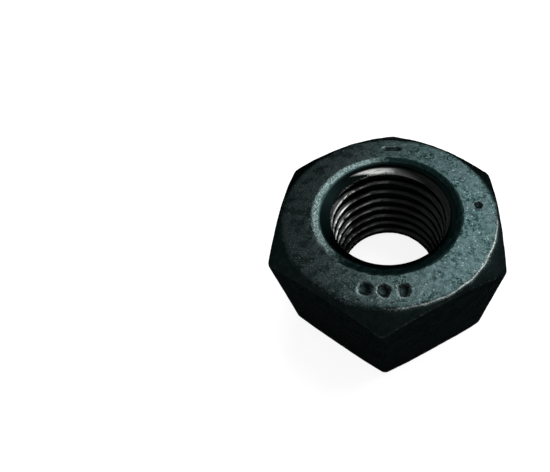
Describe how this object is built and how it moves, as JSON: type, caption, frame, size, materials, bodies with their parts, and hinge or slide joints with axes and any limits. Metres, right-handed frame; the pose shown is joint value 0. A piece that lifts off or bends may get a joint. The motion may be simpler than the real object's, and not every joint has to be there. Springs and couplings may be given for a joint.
{
  "type": "hex nut",
  "caption": "Heavy hexagon nut with an M30 x 3.5 right-hand through thread, chamfered corners, countersunk mouths and a blackened forged finish.",
  "frame": {"origin": "middle of the bearing face, on the thread axis", "axes": "+Z along the thread axis towards the marked face, +X square to a wrench flat, +Y through a corner"},
  "size_m": [0.05, 0.0572, 0.0306],
  "materials": {
    "blackened_steel": "black oxide over forged and turned steel, satin, darker on the flats, bare bright steel on the cut thread"
  },
  "bodies": {
    "root": {"hex_nut": "blackened_steel"}
  },
  "joints": []
}
